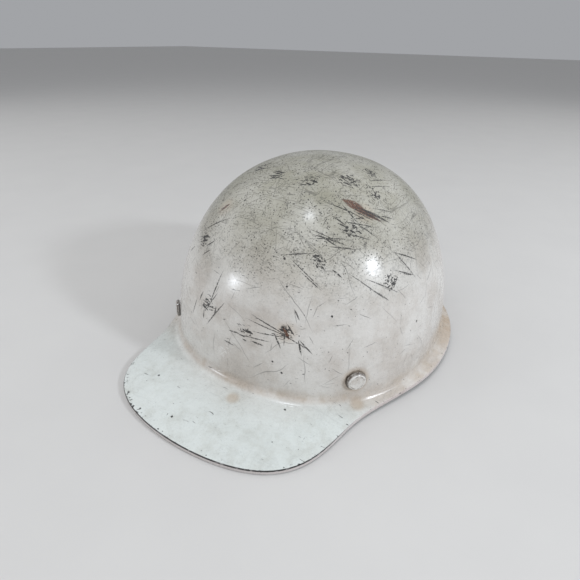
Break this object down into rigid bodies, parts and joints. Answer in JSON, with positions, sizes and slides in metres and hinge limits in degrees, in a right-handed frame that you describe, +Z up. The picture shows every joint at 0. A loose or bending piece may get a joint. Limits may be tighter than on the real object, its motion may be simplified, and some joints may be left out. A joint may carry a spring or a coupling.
{
  "type": "hard hat",
  "caption": "Cap-style hard hat with a smooth riveted shell and front visor, on a lift-out webbing suspension with a knob-adjusted headband.",
  "frame": {"origin": "centre of the dome's plan, on the plane that the rim rests on", "axes": "-Y toward the visor, +X toward the wearer's left, +Z up through the crown"},
  "size_m": [0.2352, 0.299, 0.143],
  "materials": {
    "shell_paint": "hand-painted warm white over a dark moulded shell, dirty and scratched, glossy",
    "rivet_paint": "painted over white, bare at the edge",
    "washer_metal": "dull",
    "suspension_nylon": "fine moulded texture",
    "webbing": "woven cotton webbing, aged",
    "patch_leather": "stitched leather",
    "band_plastic": "flexible sheet plastic, satin",
    "sweat_pad": "padded sweatband leather with stitched edges",
    "ratchet_plastic": "moulded, satin",
    "gear_acetal": "natural acetal",
    "spring_steel": "bright steel"
  },
  "bodies": {
    "suspension": {"lug_front_left": "suspension_nylon", "lug_front_right": "suspension_nylon", "lug_rear_left": "suspension_nylon", "lug_rear_right": "suspension_nylon", "crown_strap_lower": "webbing", "crown_strap_upper": "webbing", "crown_patch": "patch_leather", "headband": "band_plastic", "brow_pad": "sweat_pad", "arm_guide_left": "suspension_nylon", "arm_guide_right": "suspension_nylon", "ratchet_base": "ratchet_plastic", "ratchet_cover": "ratchet_plastic", "housing_screws": "spring_steel", "nape_pad": "sweat_pad"},
    "shell": {"shell": "shell_paint", "rivets": "rivet_paint", "rivet_washers": "washer_metal", "lug_holder_front_left": "suspension_nylon", "lug_holder_front_right": "suspension_nylon", "lug_holder_rear_left": "suspension_nylon", "lug_holder_rear_right": "suspension_nylon"},
    "knob": {"pinion": "gear_acetal", "detent_spring": "spring_steel", "ratchet_knob": "ratchet_plastic", "knob_screw": "spring_steel"},
    "arm_left": {"rack_arm_left": "band_plastic"},
    "arm_right": {"rack_arm_right": "band_plastic"}
  },
  "joints": [
    {"name": "shell_lift", "type": "slide", "parent": "suspension", "child": "shell", "axis": [0, 0, 1], "range_m": [0, 0.14]},
    {"name": "knob_turn", "type": "hinge", "parent": "suspension", "child": "knob", "pos_m": [0, 0.1, 0.016], "axis": [0, 1, 0], "range_deg": [-115, 400]},
    {"name": "arm_left_slide", "type": "hinge", "parent": "suspension", "child": "arm_left", "pos_m": [0, 0.008, 0.016], "axis": [0, 0, -1], "range_deg": [-5.7, 20]},
    {"name": "arm_right_slide", "type": "hinge", "parent": "suspension", "child": "arm_right", "pos_m": [0, 0.008, 0.016], "axis": [0, 0, 1], "range_deg": [-5.7, 20]}
  ],
  "couplings": [
    {"joint": "arm_left_slide", "follows": "knob_turn", "ratio": 0.048368},
    {"joint": "arm_right_slide", "follows": "knob_turn", "ratio": 0.047337}
  ]
}
